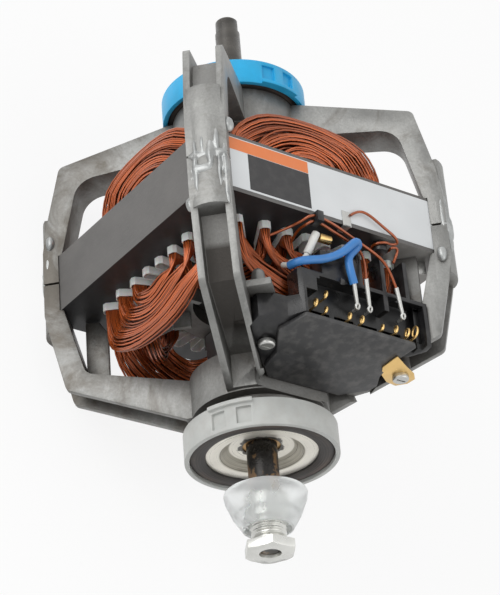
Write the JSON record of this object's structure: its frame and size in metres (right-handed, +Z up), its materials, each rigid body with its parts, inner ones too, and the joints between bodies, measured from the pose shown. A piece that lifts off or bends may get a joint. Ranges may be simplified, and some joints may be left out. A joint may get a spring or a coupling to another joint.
{
  "type": "dryer drive motor",
  "caption": "Open induction motor in a cast cage of legs, with a belt pulley on one end, a blower shaft on the other, ring mounts and a starting switch.",
  "frame": {"origin": "centre of the mounting ring at the pulley end, on the shaft's axis", "axes": "+Y along the shaft towards the blower end, +Z up through the side that carries the switch's terminals, +X to the right seen from the pulley end"},
  "size_m": [0.135, 0.2625, 0.1387],
  "materials": {
    "cast_alloy": "satin",
    "ring_blue": "satin",
    "ring_grey": "satin",
    "black_rubber": "matt",
    "cap_steel": "satin",
    "bronze": "satin",
    "felt": "matt",
    "spring_steel": "satin",
    "shaft_steel": "oiled",
    "lamination": "satin",
    "copper_wire": "enamelled",
    "liner_film": "matt",
    "bond": "matt",
    "rotor_iron": "oiled",
    "zinc": "satin",
    "cone_white": "frosted",
    "phenolic": "satin",
    "cover_grey": "satin",
    "brass": "bright",
    "lead_blue": "satin",
    "lead_white": "satin",
    "tinned": "satin"
  },
  "bodies": {
    "frame": {"blower_end_frame": "cast_alloy", "pulley_end_frame": "cast_alloy", "pulley_end_ring": "ring_grey", "blower_end_ring": "ring_blue", "stator_core": "lamination", "slot_liners": "liner_film", "corner_bonds": "bond", "start_coils": "copper_wire", "switch_cover": "cover_grey", "switch_base": "phenolic", "lever_pin": "spring_steel", "switch_terminals": "brass", "switch_screws": "tinned", "earth_strap": "brass", "blue_lead": "lead_blue", "white_lead": "lead_white", "copper_leads": "copper_wire", "lead_crimps": "tinned", "lead_tie": "phenolic", "lead_splice": "lead_white", "splice_clip": "brass", "lead_button": "phenolic", "earth_tab": "brass", "pulley_end_cushion": "black_rubber", "pulley_end_cap": "cap_steel", "pulley_end_bearing": "bronze", "pulley_end_felt": "felt", "pulley_end_retainer": "spring_steel", "blower_end_cushion": "black_rubber", "blower_end_cap": "cap_steel", "blower_end_bearing": "bronze", "blower_end_felt": "felt", "blower_end_retainer": "spring_steel", "main_coil_1": "copper_wire", "main_coil_2": "copper_wire", "main_coil_3": "copper_wire", "main_coil_4": "copper_wire"},
    "rotor": {"shaft": "shaft_steel", "rotor_core": "rotor_iron", "rotor_end_rings": "cast_alloy", "belt_pulley": "zinc", "guide_cone": "cone_white", "thrust_washers": "phenolic", "shaft_clips": "spring_steel", "governor_plate": "spring_steel", "governor_pins": "spring_steel", "governor_spring": "spring_steel"},
    "governor_collar": {"governor_spool": "phenolic"},
    "upper_weight": {"upper_governor_weight": "spring_steel"},
    "lower_weight": {"lower_governor_weight": "spring_steel"},
    "lever": {"switch_lever": "spring_steel"}
  },
  "joints": [
    {"name": "rotor_spin", "type": "hinge", "parent": "frame", "child": "rotor", "pos_m": [0, 0, 0], "axis": [0, 1, 0], "continuous": true},
    {"name": "governor_slide", "type": "slide", "parent": "rotor", "child": "governor_collar", "axis": [0, 1, 0], "range_m": [0, 0.003], "deforming": ["governor_spring"]},
    {"name": "upper_weight_pivot", "type": "hinge", "parent": "rotor", "child": "upper_weight", "pos_m": [0, 0.0442, 0.018], "axis": [1, 0, 0], "range_deg": [0, 21.5]},
    {"name": "lower_weight_pivot", "type": "hinge", "parent": "rotor", "child": "lower_weight", "pos_m": [0, 0.0442, -0.018], "axis": [1, 0, 0], "range_deg": [-21.5, 0]},
    {"name": "lever_pivot", "type": "hinge", "parent": "frame", "child": "lever", "pos_m": [0, 0.0305, 0.0285], "axis": [1, 0, 0], "range_deg": [0, 8.6]}
  ],
  "couplings": [
    {"joint": "upper_weight_pivot", "follows": "governor_slide", "rad_per_m": 125},
    {"joint": "lower_weight_pivot", "follows": "governor_slide", "rad_per_m": -125},
    {"joint": "lever_pivot", "follows": "governor_slide", "rad_per_m": 50}
  ]
}
